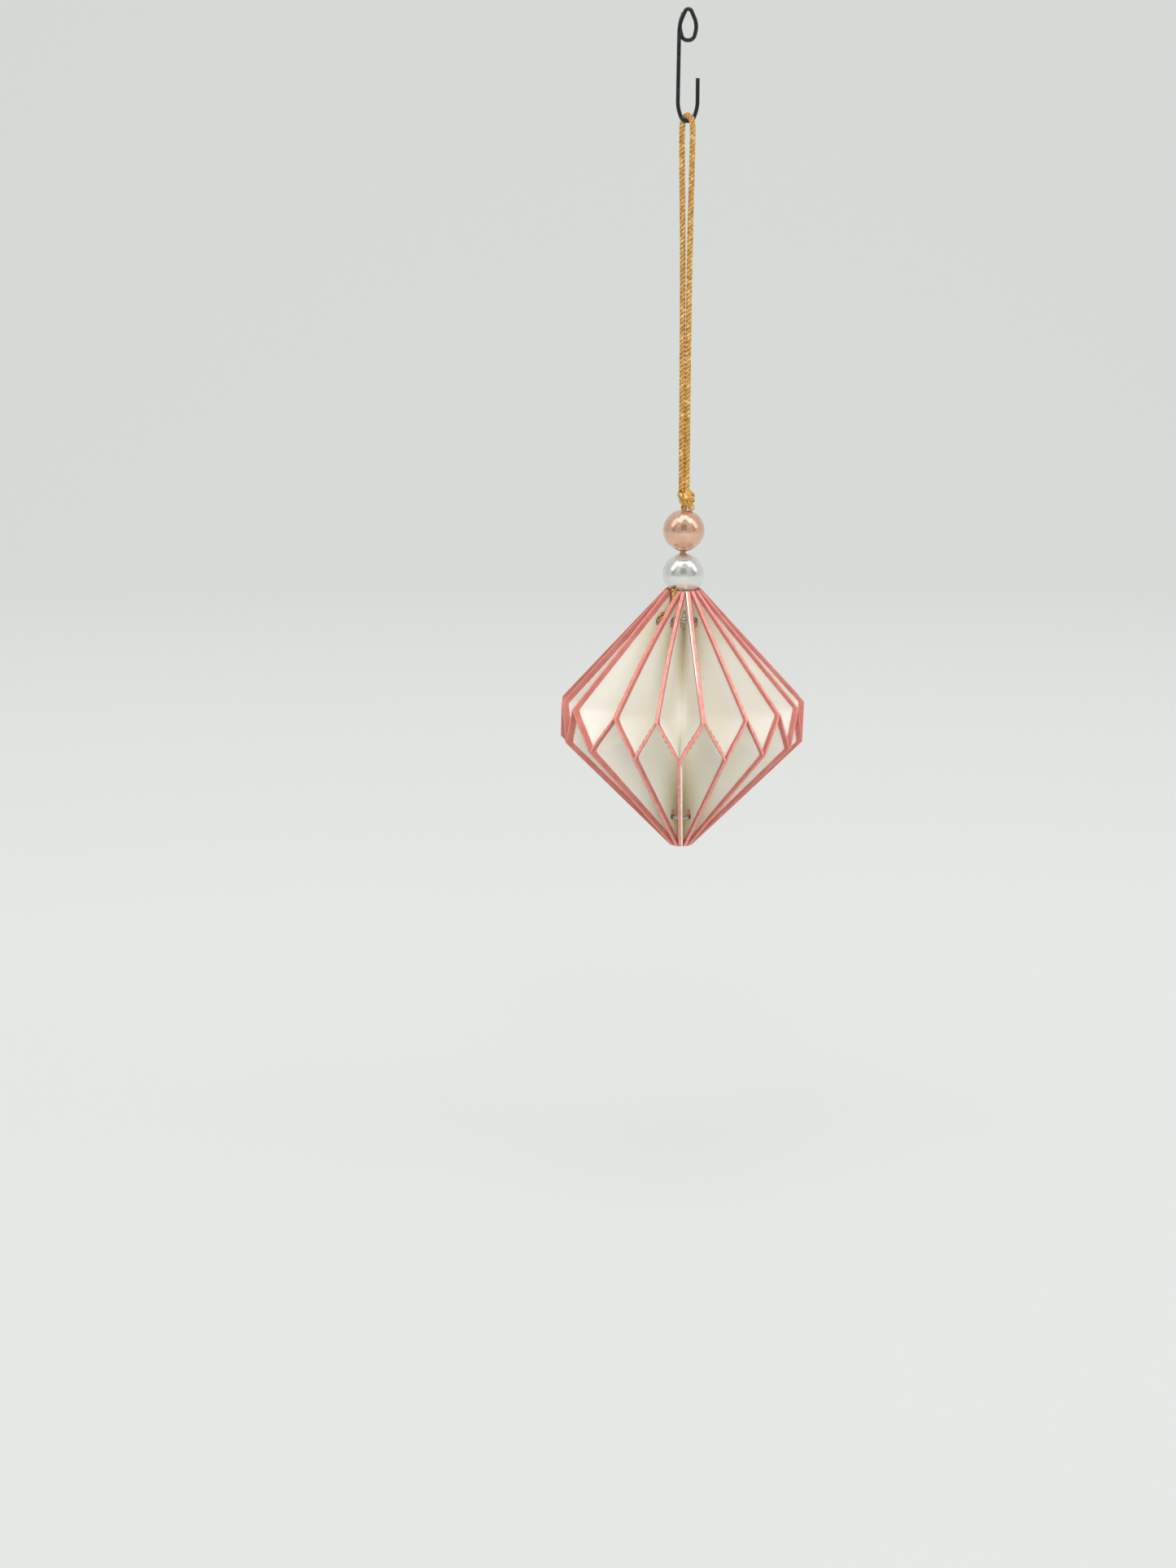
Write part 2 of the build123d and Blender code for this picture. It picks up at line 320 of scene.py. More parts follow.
tie_turn = [tie_knot_place] + [
    round_the_wire(TIE_TURN_START - TIE_TURN_STEP * number, (number - 3) * TIE_DRIFT)
    for number in range(TIE_TURN_POINTS)
] + [tie_knot_place + tie_out * TIE_KNOT_REACH]
tie_tail = [tie_knot_place] + [Vector(point) * MM for point in (
    (-3.0, -3.3, -162.8),
    (-2.4, -3.8, -161.2),
    (-2.9, -4.6, -157.2),
)]

mesh = bmesh.new()
uv = mesh.loops.layers.uv.new("ply")
rope_into(mesh, uv, line_of(tie_turn, "tie_turn"), diameter=TIE_CORD_DIAMETER)
rope_into(mesh, uv, line_of(tie_tail, "tie_tail"))
tie = piece_of(mesh, "tie")
print("knot faces:", len(knot.data.polygons), "tie faces:", len(tie.data.polygons))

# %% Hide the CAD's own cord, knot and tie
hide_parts("cord_loop")
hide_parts("cord_stem")
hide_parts("cord_knot")
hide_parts("ring_tie")

# %% [markdown]
# ## Small tools for finishes
# Each finish is a node tree. The same few steps come back in all of them: start from the
# principled shader, mix two colours by a pattern, and turn a pattern into a shallow bump. So they
# are methods of one small class, and each finish below reads as a short list of steps.
# Colours are written as they look on a screen, from 0 to 255, and made linear for the shader.
# Nearly all values of a noise lie between 0.3 and 0.7, so a ramp over them starts and ends there,
# or a little inside for more contrast.

# %% Finish helpers
FULL_NOISE, SOFT_NOISE = (0.3, 0.7), (0.35, 0.65)


def tint(red, green, blue):
    """A screen colour as the linear one that shaders use."""
    return tuple((part / 255 / 12.92) if part <= 10 else ((part / 255 + 0.055) / 1.055) ** 2.4
                 for part in (red, green, blue)) + (1.0,)


class Finish:
    """A material that is being wired up."""

    def __init__(self, name, roughness, **sockets):
        self.material = bpy.data.materials.new(name)
        self.material.use_nodes = True
        self.tree = self.material.node_tree
        self.shader = self.tree.nodes["Principled BSDF"]
        self.shader.inputs["Roughness"].default_value = roughness
        for socket, value in sockets.items():
            socket = socket.replace("_", " ").title().replace("Ior", "IOR")
            self.shader.inputs[socket].default_value = value

    def node(self, kind, **settings):
        """A new node of one kind."""
        made = self.tree.nodes.new("ShaderNode" + kind)
        for setting, value in settings.items():
            setattr(made, setting, value)
        return made

    def join(self, source, target):
        """A link from an output to an input."""
        self.tree.links.new(source, target)

    def noise(self, scale, detail=4, stretch=(1, 1, 1), place="Object"):
        """Noise of one scale in the object's own coordinates, optionally stretched."""
        coordinates = self.node("TexCoord")
        mapping = self.node("Mapping")
        mapping.inputs["Scale"].default_value = stretch
        pattern = self.node("TexNoise")
        pattern.inputs["Scale"].default_value = scale
        pattern.inputs["Detail"].default_value = detail
        self.join(coordinates.outputs[place], mapping.inputs["Vector"])
        self.join(mapping.outputs["Vector"], pattern.inputs["Vector"])
        return pattern.outputs["Fac"]

    def ramp(self, factor, low, high, start=0.0, end=1.0):
        """A number moved from one range to another and kept inside it."""
        node = self.node("MapRange")
        limits = (("From Min", low), ("From Max", high), ("To Min", start), ("To Max", end))
        for name, value in limits:
            node.inputs[name].default_value = value
        self.join(factor, node.inputs["Value"])
        return node.outputs["Result"]

    def sum(self, kind, first, second):
        """Two numbers put together by one operation."""
        node = self.node("Math", operation=kind)
        for socket, value in zip(node.inputs, (first, second)):
            if isinstance(value, (int, float)):
                socket.default_value = value
            else:
                self.join(value, socket)
        return node.outputs["Value"]

    def mix(self, factor, first, second):
        """Two colours mixed by a pattern."""
        node = self.node("Mix", data_type="RGBA")
        for name, value in (("A", first), ("B", second)):
            socket = next(s for s in node.inputs if s.name == name and s.type == "RGBA")
            if isinstance(value, tuple):
                socket.default_value = value
            else:
                self.join(value, socket)
        self.join(factor, node.inputs[0])
        return next(s for s in node.outputs if s.type == "RGBA")

    def axes(self, source):
        """The X, Y and Z of a vector, each as an output."""
        parts = self.node("SeparateXYZ")
        self.join(source, parts.inputs["Vector"])
        return parts.outputs

    def colour(self, source):
        """The shader's base colour from a pattern."""
        self.join(source, self.shader.inputs["Base Color"])

    def let_through(self, source, share):
        """Lets a share of the light pass through a thin sheet, coloured by the source."""
        through = self.node("BsdfTranslucent")
        both = self.node("MixShader")
        both.inputs["Fac"].default_value = share
        self.join(source, through.inputs["Color"])
        self.join(self.shader.outputs["BSDF"], both.inputs[1])
        self.join(through.outputs["BSDF"], both.inputs[2])
        self.join(both.outputs["Shader"], self.tree.nodes["Material Output"].inputs["Surface"])

    def glow(self, source, strength):
        """Light that the surface gives off by itself."""
        self.join(source, self.shader.inputs["Emission Color"])
        self.join(strength, self.shader.inputs["Emission Strength"])

    def rough(self, source):
        """The shader's roughness from a pattern."""
        self.join(source, self.shader.inputs["Roughness"])

    def bump(self, height, strength, distance):
        """A shallow relief from a pattern, with its full height in metres."""
        node = self.node("Bump")
        node.inputs["Strength"].default_value = strength
        node.inputs["Distance"].default_value = distance
        self.join(height, node.inputs["Height"])
        self.join(node.outputs["Normal"], self.shader.inputs["Normal"])


print("paper white on screen, made linear:", [round(part, 3) for part in tint(250, 249, 243)])

# %% [markdown]
# ## Gold satin cord
# Each ply is a bundle of shiny fibres that wind the other way round. The plies' UV map holds how
# far a point lies from the cord's axis and how far along the ply it is. A wave across both makes
# the fibres, as a stripe of colour and a shallow bump. The distance from the axis alone tells the
# crests, which catch the light, from the grooves between the plies, and the grooves get a painted
# shade, a dark colour where shade falls between the plies. One noise darkens threads at random,
# another paints glints, bright flecks that stand in for highlights, and sheen gives the soft edge
# that satin thread has.

# %% Gold cord finish
# The groove colour is a painted shade between the plies, and the glint colour is a painted
# highlight.
THREAD_DARK, THREAD_LIGHT = tint(184, 124, 34), tint(224, 174, 76)
SHADED_THREAD, PAINTED_GLINT = tint(142, 86, 18), tint(255, 232, 158)
PAINTED_GROOVE_SHADE = tint(92, 52, 8)
SHADE_SHARE, PAINTED_GLINT_SHARE = 0.55, 0.5
GROOVE_REACH, CREST_REACH = 0.58, 0.8
FIBRE_LEAN, FIBRE_STRETCH = 30, (2.2, 4, 1)
FIBRE_RELIEF = 0.08 * MM

gold = Finish("gold_satin", 0.36, sheen_weight=0.25, sheen_roughness=0.35, specular_ior_level=0.7)
ply_map = gold.node("UVMap", uv_map="ply").outputs["UV"]
# Painted shade: points near the axis, in the grooves, take the dark groove colour, and the crests
# keep the thread colours.
crest_light_share = gold.ramp(gold.axes(ply_map)["X"], GROOVE_REACH, CREST_REACH)
fibre_lay = gold.node("Mapping")
fibre_lay.inputs["Rotation"].default_value = (0, 0, radians(FIBRE_LEAN))
fibre_lay.inputs["Scale"].default_value = FIBRE_STRETCH
fibres = gold.node("TexWave", wave_type="BANDS")
for setting, value in (("Scale", 1.4), ("Distortion", 3.0), ("Detail", 2.0)):
    fibres.inputs[setting].default_value = value
gold.join(ply_map, fibre_lay.inputs["Vector"])
gold.join(fibre_lay.outputs["Vector"], fibres.inputs["Vector"])

# %% Colours of the threads
thread_tone = gold.mix(fibres.outputs["Fac"], THREAD_DARK, THREAD_LIGHT)
shades = gold.ramp(gold.noise(950, 2), 0.46, 0.62, 0, SHADE_SHARE)
shaded_tone = gold.mix(shades, thread_tone, SHADED_THREAD)
# Painted glints: bright flecks at random stand in for highlights on the threads.
painted_glints = gold.ramp(gold.noise(800, 3), 0.52, 0.64)
tone_with_painted_glints = gold.mix(gold.sum("MULTIPLY", painted_glints, PAINTED_GLINT_SHARE), shaded_tone, PAINTED_GLINT)
gold.colour(gold.mix(crest_light_share, PAINTED_GROOVE_SHADE, tone_with_painted_glints))
gold.bump(fibres.outputs["Fac"], 0.6, FIBRE_RELIEF)
for piece in (loop_cord, stem_cord, knot, tie):
    piece.data.materials.append(gold.material)
print("gold cord nodes:", len(gold.tree.nodes))

# %% [markdown]
# ## Printed card
# The cards are white board of 0.4 mm with a pink border along the cut outline on both faces. The
# border follows the outline, not the bent shape, so the mesh keeps a UV map of the flat die-cut
# card in millimetres. The distance to the three outer edges then gives the border, with a little
# noise for the ragged edge of ink on board.

# %% Outline of the flat card
TIP_HEIGHT, SHOULDER_HEIGHT = 37.7, 5.3
BODY_RADIUS, TOP_TIP_RADIUS, BOTTOM_TIP_RADIUS = 35.1, 5.2, 3.4


def edge_line(first, second):
    """Outward normal of an outline edge and how far along it the edge lies."""
    run = Vector(second) - Vector(first)
    normal = Vector((-run.y, run.x)).normalized()
    if normal.dot(Vector(first)) < 0:
        normal = -normal
    return normal, normal.dot(Vector(first))


outer_edges = [
    edge_line((TOP_TIP_RADIUS, TIP_HEIGHT), (BODY_RADIUS, SHOULDER_HEIGHT)),
    edge_line((BODY_RADIUS, SHOULDER_HEIGHT), (BODY_RADIUS, -SHOULDER_HEIGHT)),
    edge_line((BOTTOM_TIP_RADIUS, -TIP_HEIGHT), (BODY_RADIUS, -SHOULDER_HEIGHT)),
]
print("edges lie at:", [round(offset, 2) for _, offset in outer_edges], "mm from the card's middle")

# %% [markdown]
# ## Printed faces
# Board is never one flat white. It has faint warm clouds and a felt of fibres. Deep in the cells,
# towards the tips, the light that reaches the eye has bounced off card many times and turned warm,
# and a painted shade stands in for it: near the spine the colour turns warmer and darker towards
# the tips. Thin board also lets light through, so the shader is mixed with a translucent one. The
# render follows few bounces, so a small painted glow stands in for the light that soaks the cells:
# most at the waist near the core, almost none at the tips, and a trace everywhere else.

# %% Printed faces of the board
INK, DEEP_INK = tint(231, 152, 143), tint(220, 134, 124)
BOARD, WARM_BOARD = tint(250, 249, 243), tint(248, 245, 235)
# Painted shade: near the spine the board goes from a waist tone to a warmer, darker tone at the
# tips.
WAIST_CORE_PAINTED_SHADE, TIP_CORE_PAINTED_SHADE = tint(250, 248, 243), tint(241, 233, 209)
CORE_SHADE_HEIGHTS, CORE_SHADE_REACHES = (4, 24), (3, 17)
BOARD_TRANSLUCENCE = 0.3
BOARD_RELIEF = 0.04 * MM
WAIST_SOAKED_LIGHT, TIP_SOAKED_LIGHT, RIM_SOAKED_LIGHT = 0.13, 0.02, 0.03
SOAKED_HEIGHTS, SOAKED_REACHES = (2, 26), (6, 28)
INK_RAGGEDNESS, INK_BLUR = 0.06, 0.05
BARE_ROUGHNESS, INK_ROUGHNESS = 0.62, 0.48
FRONT_BORDERS, BACK_BORDERS = (1.5, 2.0), (1.1, 1.6)


def place_on_card(finish):
    """The flat card's map, the reach from the axis and the height above or below the middle."""
    flat = finish.node("UVMap", uv_map="die").outputs["UV"]
    axes = finish.axes(flat)
    return flat, axes["X"], finish.sum("ABSOLUTE", axes["Y"], 0)


def board_surface(finish):
    """The board: faint warm clouds, a fine felt of fibres, and a painted shade near the spine
    that turns warmer and darker towards the tips.
    """
    clouds = finish.ramp(finish.noise(55, 3), 0.35, 0.7)
    felt = finish.noise(1800, 5, (1, 1, 0.35))
    outer_tone = finish.mix(clouds, BOARD, WARM_BOARD)
    _, reach, height = place_on_card(finish)
    # Painted shade near the spine, warmer and darker towards the tips, where the cells are deep.
    tip_share = finish.ramp(height, *CORE_SHADE_HEIGHTS)
    painted_core_shade = finish.mix(tip_share, WAIST_CORE_PAINTED_SHADE, TIP_CORE_PAINTED_SHADE)
    finish.bump(felt, 0.25, BOARD_RELIEF)
    return finish.mix(finish.ramp(reach, *CORE_SHADE_REACHES), painted_core_shade, outer_tone), felt


def ink_share(card, flat, felt, slope_border, belt_border):
    """1 on the ink and 0 on bare board, with a ragged line between them."""
    depth = None
    for (normal, offset), border in zip(outer_edges, (slope_border, belt_border, slope_border)):
        dot = card.node("VectorMath", operation="DOT_PRODUCT")
        dot.inputs[1].default_value = (*normal, 0)
        card.join(flat, dot.inputs[0])
        edge_depth = card.sum("SUBTRACT", offset - border, dot.outputs["Value"])
        depth = edge_depth if depth is None else card.sum("MINIMUM", depth, edge_depth)
    fringe = card.ramp(felt, *FULL_NOISE, -INK_RAGGEDNESS, INK_RAGGEDNESS)
    return card.ramp(card.sum("ADD", depth, fringe), INK_BLUR, -INK_BLUR)


def soaked_light(card, reach, height):
    """How much a face glows with the light that bounces about in its cell."""
    waist_light = card.ramp(height, *SOAKED_HEIGHTS, WAIST_SOAKED_LIGHT, TIP_SOAKED_LIGHT)
    soaked = card.sum("MULTIPLY", waist_light, card.ramp(reach, *SOAKED_REACHES, 1, 0))
    return card.sum("ADD", soaked, RIM_SOAKED_LIGHT)


def printed_card(name, slope_border, belt_border):
    """Board with ink borders, in millimetres, along the two slopes and along the short belt edge."""
    card = Finish(name, 0.6, specular_ior_level=0.4)
    tone, felt = board_surface(card)
    flat, reach, height = place_on_card(card)
    printed = ink_share(card, flat, felt, slope_border, belt_border)
    ink = card.mix(card.ramp(card.noise(240, 4), *SOFT_NOISE), INK, DEEP_INK)
    face = card.mix(printed, tone, ink)
    card.colour(face)
    card.let_through(face, BOARD_TRANSLUCENCE)
    card.glow(face, soaked_light(card, reach, height))
    card.rough(card.ramp(printed, 0, 1, BARE_ROUGHNESS, INK_ROUGHNESS))
    return card.material


front_print = printed_card("card_front_print", *FRONT_BORDERS)
back_print = printed_card("card_back_print", *BACK_BORDERS)
print("printed faces:", front_print.name, back_print.name)

# %% [markdown]
# ## Cut edges
# The die pulls a little ink over the sheared side of the board, so the edges are a paler pink.
# On the first and the last card, at the seam, a part of the edge is bare board, and the ink gives
# way to it between two heights on the card.

# %% Cut edges of the board
EDGE_TINTS = tint(230, 160, 149), tint(216, 137, 127)
BARE_EDGE_TINTS = tint(248, 243, 232), tint(236, 226, 210)
FIRST_CARD_BARE, LAST_CARD_BARE = (-6, -8), (12, 16)


def edge_finish(name):
    """The sheared side of the board: coarse fibres, and patches that run along the edge."""
    edge = Finish(name, 0.8)
    patches = edge.ramp(edge.noise(900, 3, (1, 1, 0.2)), *SOFT_NOISE)
    edge.bump(edge.noise(2500, 3), 0.3, BOARD_RELIEF)
    return edge, patches


def cut_edge(name):
    """A cut edge with ink all along it."""
    edge, patches = edge_finish(name)
    edge.colour(edge.mix(patches, *EDGE_TINTS))
    return edge.material


def half_bare_edge(name, bare_from, bare_to):
    """A cut edge whose ink gives way to bare board between two heights on the card."""
    edge, patches = edge_finish(name)
    bare = edge.mix(patches, *BARE_EDGE_TINTS)
    inked = edge.mix(patches, *EDGE_TINTS)
    height = edge.axes(edge.node("UVMap", uv_map="die").outputs["UV"])["Y"]
    edge.colour(edge.mix(edge.ramp(height, bare_from, bare_to), inked, bare))
    return edge.material


inked_edge = cut_edge("card_inked_edge")
first_card_edge = half_bare_edge("card_01_edge", *FIRST_CARD_BARE)
last_card_edge = half_bare_edge("card_37_edge", *LAST_CARD_BARE)
print("edges:", inked_edge.name, first_card_edge.name, last_card_edge.name)

# %% [markdown]
# ## The flat card
# A card is cut flat and bent later, and it is easiest to make it the same way. Its outline and the
# two punched holes are drawn in the plane, with rows of points where the board will bend and along
# the outer edges, where it will swell. A constrained Delaunay fill turns them into clean triangles
# that keep every cut line.

# %% Flat card with its holes
CARD_THICKNESS = 0.4
THROAT_RADIUS, THROAT_HEIGHT = 4.6, 31.0
SPINE_RADIUS, SPINE_HEIGHT = 2.4, 27.0
HOLE_RADIUS, HOLE_DISTANCE = 1.5, 7.5
TOP_HOLE_HEIGHT, BOTTOM_HOLE_HEIGHT = 29.0, -27.2
HOLE_POINTS = 28
POINT_SPACING = 1.6
ROW_SPACING = POINT_SPACING * 1.2
BEND_LEVELS = 6
COLUMN_SHIFT = 0.4
RIM_DEPTHS = (0.12, 0.35, 0.75, 1.2)
RIM_MARGIN = 0.5
CORE_BEND = 0.9
ROW_TOLERANCE, FILL_TOLERANCE = 0.01, 1e-5

die_outline = [
    (THROAT_RADIUS, TIP_HEIGHT), (TOP_TIP_RADIUS, TIP_HEIGHT),
    (BODY_RADIUS, SHOULDER_HEIGHT), (BODY_RADIUS, -SHOULDER_HEIGHT),
    (BOTTOM_TIP_RADIUS, -TIP_HEIGHT), (SPINE_RADIUS, -TIP_HEIGHT),
    (SPINE_RADIUS, SPINE_HEIGHT), (THROAT_RADIUS, THROAT_HEIGHT),
]
holes = [(HOLE_DISTANCE, TOP_HOLE_HEIGHT), (HOLE_DISTANCE, BOTTOM_HOLE_HEIGHT)]


def bend_reach(distance):
    """Half the height of the zone that bends, at one distance from the axis."""
    share = distance / BODY_RADIUS
    return SHOULDER_HEIGHT * share * (1 + CORE_BEND * (1 - share))


def rim_depth(spot):
    """Distance from a point on the card to the nearest outer edge."""
    return min(offset - normal.dot(spot) for normal, offset in outer_edges)


def inside_outline(x, y, margin):
    """True where a point lies inside the die's outline and clear of its edges."""
    clear = rim_depth(Vector((x, y))) > margin
    inner = SPINE_RADIUS if y < SPINE_HEIGHT else THROAT_RADIUS
    off_holes = all((Vector((x, y)) - Vector(hole)).length > HOLE_RADIUS + margin for hole in holes)
    return clear and x > inner + margin and off_holes and abs(y) < TIP_HEIGHT - margin


def flat_card():
    """Points and triangles of the flat card."""
    points, edges = [], []
    first = 0
    corners = die_outline + die_outline[:1]
    for start, end in zip(corners, corners[1:]):
        start, end = Vector(start), Vector(end)
        steps = max(1, round((end - start).length / POINT_SPACING))
        points += [start.lerp(end, step / steps) for step in range(steps)]
    edges += [(n, n + 1) for n in range(len(points) - 1)] + [(len(points) - 1, first)]
    for hole in holes:
        first = len(points)
        for number in range(HOLE_POINTS):
            turn = 2 * pi * number / HOLE_POINTS
            points.append(Vector(hole) + Vector((cos(turn), sin(turn))) * HOLE_RADIUS)
        edges += [(n, n + 1) for n in range(first, len(points) - 1)] + [(len(points) - 1, first)]
    for start, end in zip(die_outline[1:4], die_outline[2:5]):
        start, end = Vector(start), Vector(end)
        inwards = (end - start).orthogonal().normalized()
        inwards = inwards if inwards.x < 0 else -inwards
        steps = round((end - start).length / POINT_SPACING)
        for depth in RIM_DEPTHS:
            middles = [(step + 0.5) / steps for step in range(steps)]
            row = [start.lerp(end, middle) + inwards * depth for middle in middles]
            points += [spot for spot in row if inside_outline(*spot, depth - ROW_TOLERANCE)]
    columns = int((BODY_RADIUS - SPINE_RADIUS) / POINT_SPACING)
    for column in range(1, columns + 1):
        x = SPINE_RADIUS + (BODY_RADIUS - SPINE_RADIUS) * column / columns - COLUMN_SHIFT
        reach = bend_reach(x)
        rows = [reach * level / BEND_LEVELS for level in range(-BEND_LEVELS - 1, BEND_LEVELS + 2)]
        rise = (BEND_LEVELS + 1) / BEND_LEVELS * reach + POINT_SPACING
        while rise < TIP_HEIGHT:
            rows += [rise, -rise]
            rise += ROW_SPACING
        margin = RIM_DEPTHS[-1] + RIM_MARGIN
        points += [Vector((x, y)) for y in rows if inside_outline(x, y, margin)]
    spots, _, faces, *_ = delaunay_2d_cdt(points, edges, [], 2, FILL_TOLERANCE)
    kept = []
    for face in faces:
        middle = sum((spots[n] for n in face), Vector((0, 0))) / len(face)
        if inside_outline(*middle, 0.0):
            kept.append(face)
    return spots, kept


card_spots, card_faces = flat_card()
print("flat card:", len(card_spots), "points,", len(card_faces), "triangles")

# %% [markdown]
# ## Bending the cards
# Board bends along straight lines only. Each card lies flat in the plane of its upper rib and flat
# in the plane of its lower rib, and between them it turns over a cone whose point is on the axis.
# Near the outer edge the bend is almost a crease, and inwards it gets rounder. At the tips the real
# cards were pushed about by the cord, so the ribs between the wide cell and the seam lean aside by
# up to 2 mm. The ribs aren't evenly spread either: one cell is wide, and those at the front stand
# further apart than those at the sides.

# %% Where the ribs stand
RIB_COUNT = 18
SEAM_AZIMUTH, WIDE_CELL_ANGLE, RIBS_BEFORE_WIDE_CELL, FRONT_SPREAD = 6.8, 29.4, 15, 3.2
MIDDLE = -195.781
RIB_LEAN = {0: 0.5, 16: 2.2, 17: 1.3, 18: 0.5}
LEAN_POWER = 1.5
BELT_ROUNDNESS, CORE_ROUNDNESS = 0.12, 1.6


def rib_azimuths():
    """Azimuths of the upper ribs in order round the axis, and the first one once more."""
    pitch = (360 - WIDE_CELL_ANGLE) / (RIB_COUNT - 1)
    azimuth, ribs = SEAM_AZIMUTH, []
    for index in range(RIB_COUNT + 1):
        ribs.append(azimuth + FRONT_SPREAD * sin(radians(2 * azimuth)))
        azimuth += WIDE_CELL_ANGLE if index == RIBS_BEFORE_WIDE_CELL else pitch
    return ribs


def bend_share(distance, height):
    """1 in the upper rib's plane, -1 in the lower rib's plane, and between them over the cone."""
    level = max(-1.0, min(1.0, height / bend_reach(distance)))
    roundness = min(1.0, CORE_ROUNDNESS * (1 - distance / BODY_RADIUS) + BELT_ROUNDNESS)
    return level * (1 - roundness) + level * (1.5 - 0.5 * level * level) * roundness


def tip_share(height):
    """How much of a rib's lean shows at one height: none at the shoulder and all at the tip."""
    return max(0.0, (height - SHOULDER_HEIGHT) / (TIP_HEIGHT - SHOULDER_HEIGHT)) ** LEAN_POWER


upper_ribs = rib_azimuths()
lower_ribs = [(left + right) / 2 for left, right in zip(upper_ribs, upper_ribs[1:])]
print("upper ribs at:", [round(azimuth) for azimuth in upper_ribs])

# %% [markdown]
# ## Swollen rims
# A die squeezes the board as it cuts it, and bent board springs apart at its edge. So the rims of
# the real cards look thicker than the board. Here each face that no other card covers stands out
# along its rim, most on the slanting arms between two ribs, and its outermost edge is rounded off.
# At the seam two arms lie against each other, and there the faces draw back and leave a dark line.

# %% How far the rims swell
RIB_SWELL, ARM_SWELL, SEAM_GAP = 0.2, 0.55, 0.1
ROUNDED_SHARE = 0.3


def rim_profile(depth):
    """How much of the swelling shows at one depth from the cut edge, which is rounded off."""
    if depth < RIM_DEPTHS[1]:
        return ROUNDED_SHARE + (1 - ROUNDED_SHARE) * depth / RIM_DEPTHS[1]
    return max(0.0, 1 - (depth - RIM_DEPTHS[1]) / (RIM_DEPTHS[-1] - RIM_DEPTHS[1]))


def swelling(share, upper_free, lower_free, arm_free):
    """How far one face of a card stands out at its rim, between its upper and lower rib."""
    arm = 1 - share * share
    rib = max(0.0, share) * upper_free + max(0.0, -share) * lower_free
    return ARM_SWELL * arm * arm_free + RIB_SWELL * rib - SEAM_GAP * arm * (1 - arm_free)


print("swelling half way down a free arm:", round(swelling(0.5, True, True, True), 2), "mm")

# %% [markdown]
# ## Every card in its place
# A card is placed by its two ribs and by the layer that it takes in each of them. A rib is two
# boards glued face to face, and the two ribs at the seam are three boards thick. The two faces and
# the rim make one closed shell. The faces take the two prints, and the rim takes a cut edge.

# %% Bend and place every card


def card_piece(name, upper_rib, upper_layer, lower_rib, lower_layer, lean, edge_material):
    """One bent card as a closed shell with printed faces and a cut rim."""
    azimuth = (upper_rib + lower_rib) / 2
    half_angle = radians(upper_rib - lower_rib) / 2
    thickness = CARD_THICKNESS / cos(half_angle)
    first_card, last_card = upper_layer == -0.5, lower_layer == -0.5
    free_sides = (
        (upper_layer == -1, lower_layer <= -1, not first_card),
        (upper_layer >= 0, lower_layer == 0, not last_card),
    )

    def place(spot, layer):
        upper = spot.x * tan(half_angle) + thickness * (upper_layer + layer)
        lower = -spot.x * tan(half_angle) + thickness * (lower_layer + layer)
        share = bend_share(spot.x, spot.y)
        upper += lean * (1 - spot.x / BODY_RADIUS) * tip_share(spot.y)
        across = (upper + lower) / 2 + (upper - lower) / 2 * share
        swell = swelling(share, *free_sides[layer]) * rim_profile(rim_depth(spot))
        across += swell if layer else -swell
        return (outward(azimuth) * spot.x + sideways(azimuth) * across
                + Vector((0, 0, MIDDLE + spot.y))) * MM

    mesh = bmesh.new()
    uv = mesh.loops.layers.uv.new("die")
    sides = [[mesh.verts.new(place(spot, layer)) for spot in card_spots] for layer in (0, 1)]
    rim = {}
    for face in card_faces:
        for layer, order in ((0, face), (1, list(reversed(face)))):
            made = mesh.faces.new([sides[layer][n] for n in order])
            made.material_index = layer
            made.smooth = True
            for loop, n in zip(made.loops, order):
                loop[uv].uv = card_spots[n]
        for n, m in zip(face, list(face[1:]) + [face[0]]):
            if rim.pop((m, n), None) is None:
                rim[(n, m)] = True
    for n, m in rim:
        made = mesh.faces.new((sides[0][m], sides[0][n], sides[1][n], sides[1][m]))
        made.material_index = 2
        for loop, k in zip(made.loops, (m, n, n, m)):
            loop[uv].uv = card_spots[k]
        for edge in made.edges:
            edge.smooth = False
    loose = [vertex for vertex in mesh.verts if not vertex.link_faces]
    bmesh.ops.delete(mesh, geom=loose, context="VERTS")
    card = piece_of(mesh, name, back_print, front_print, edge_material)
    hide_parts("paper_" + name)
    return card


layouts = [(upper_ribs[0], -0.5, lower_ribs[-1] - 360, 0.5, RIB_LEAN[0])]
for index, lower_rib in enumerate(lower_ribs):
    first, last = index == 0, index == RIB_COUNT - 1
    layouts.append((upper_ribs[index], 0.5 if first else 0, lower_rib, -1.5 if last else -1,
                    RIB_LEAN.get(index, 0.0)))
    layouts.append((upper_ribs[index + 1], -1.5 if last else -1, lower_rib, -0.5 if last else 0,
                    RIB_LEAN.get(index + 1, 0.0)))

rims = {1: first_card_edge, len(layouts): last_card_edge}
for number, layout in enumerate(layouts, start=1):
    card_piece(f"card_{number:02d}", *layout, rims.get(number, inked_edge))
print("cards:", len(layouts))

# %% [markdown]
# ## Pearl beads
# Beads of this kind are plastic balls under a pearl lacquer. A sphere cut by a cylinder leaves a
# razor edge at the hole, where the real one is rounded and the lacquer pools. So each bead is
# turned from a profile: half a circle whose ends run over a small radius into the bore.

# %% Turn the beads
BEAD_RADIUS, BORE_RADIUS, BORE_LIP = 6.0, 0.95, 0.35
BEAD_SEGMENTS, BEAD_ROWS, LIP_ROWS = 96, 64, 6
PEACH_HEIGHT, WHITE_HEIGHT = -141.35, -153.85


